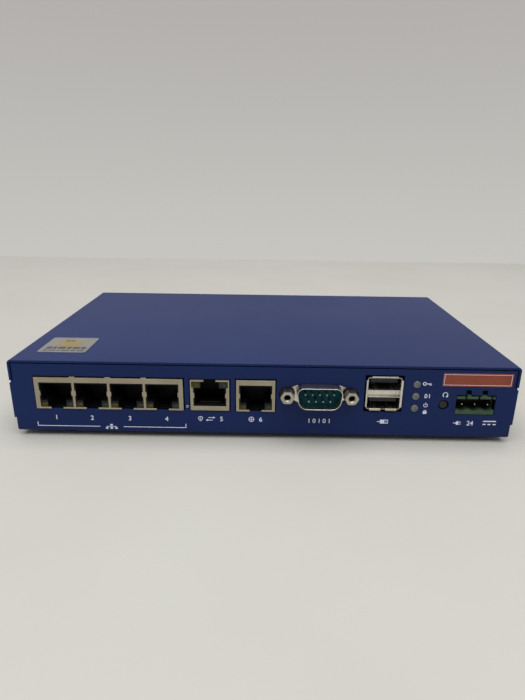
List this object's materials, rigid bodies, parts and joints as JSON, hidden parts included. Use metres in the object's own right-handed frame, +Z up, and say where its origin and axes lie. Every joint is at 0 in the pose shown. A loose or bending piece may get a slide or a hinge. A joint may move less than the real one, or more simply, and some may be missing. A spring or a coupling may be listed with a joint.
{
  "type": "firewall appliance",
  "caption": "Low wide desktop network firewall in a folded blue steel case, with network jacks, a serial plug, stacked USB sockets, status lamps, a reset button and a power header on its front.",
  "frame": {"origin": "under the middle of the whole object, on the plane that the feet stand on", "axes": "+Z up, the front panel faces -Y, +X to the right as seen from the front"},
  "size_m": [0.2, 0.127, 0.0327],
  "materials": {
    "blue_powder_coat": "deep blue satin powder coat",
    "front_label_film": "satin terracotta film",
    "top_label_foil": "silver foil label",
    "rating_label_film": "satin pale grey film",
    "zinc_steel": "zinc-plated steel",
    "black_zinc_steel": "dark coated screw steel",
    "foot_rubber": "matt black rubber",
    "board_laminate": "green solder mask on glass laminate",
    "tinned_shield": "tin-plated sheet",
    "jack_plastic": "black moulded plastic",
    "gold_contact": "gold-plated spring wire",
    "amber_lens": "unlit amber lens",
    "green_lens": "unlit green lens",
    "nickel_plate": "bright nickel plate",
    "teal_insulator": "teal moulded plastic",
    "header_plastic": "green moulded plastic",
    "status_lens": "frosted grey-white lens",
    "black_plastic": "black moulded plastic",
    "chip_resin": "black moulding resin",
    "sink_aluminium": "anodised aluminium",
    "thermal_pad_gel": "grey silicone pad",
    "capacitor_sleeve": "dark sleeve on an aluminium can",
    "inductor_ferrite": "dark pressed ferrite",
    "crystal_can": "drawn metal can",
    "fuse_ceramic": "white ceramic",
    "capacitor_ceramic": "tan ceramic chips"
  },
  "bodies": {
    "appliance": {"base_chassis": "blue_powder_coat", "top_cover": "blue_powder_coat", "cover_screws": "black_zinc_steel", "rubber_feet": "foot_rubber", "front_label": "front_label_film", "top_label": "top_label_foil", "rating_label": "rating_label_film", "main_board": "board_laminate", "board_standoffs": "zinc_steel", "board_screws": "zinc_steel", "lan_jack_shield": "tinned_shield", "lan_jack_housing": "jack_plastic", "lan_jack_contacts": "gold_contact", "dmz_jack_shield": "tinned_shield", "dmz_jack_housing": "jack_plastic", "dmz_jack_contacts": "gold_contact", "wan_jack_shield": "tinned_shield", "wan_jack_housing": "jack_plastic", "wan_jack_contacts": "gold_contact", "port_leds_amber": "amber_lens", "port_leds_green": "green_lens", "serial_shell": "nickel_plate", "serial_insulator": "teal_insulator", "serial_pins": "gold_contact", "serial_jackscrews": "nickel_plate", "serial_bracket": "zinc_steel", "usb_shell": "tinned_shield", "usb_tongues": "black_plastic", "usb_contacts": "gold_contact", "power_header": "header_plastic", "power_pins": "nickel_plate", "status_led_holder": "black_plastic", "status_leds": "status_lens", "reset_switch": "black_plastic", "processor": "chip_resin", "thermal_pad": "thermal_pad_gel", "heat_sink": "sink_aluminium", "network_switch_chip": "chip_resin", "memory_chips": "chip_resin", "flash_chip": "chip_resin", "serial_driver_chip": "chip_resin", "line_transformers": "chip_resin", "power_inductors": "inductor_ferrite", "electrolytic_capacitors": "capacitor_sleeve", "power_converter_chips": "chip_resin", "input_fuse": "fuse_ceramic", "crystals": "crystal_can", "chip_capacitors": "capacitor_ceramic"},
    "reset": {"reset_button": "black_plastic"}
  },
  "joints": [
    {"name": "reset_press", "type": "slide", "parent": "appliance", "child": "reset", "axis": [0, 1, 0], "range_m": [0, 0.0003], "stiffness_N_per_m": 3000, "springref_m": -0.0001}
  ]
}
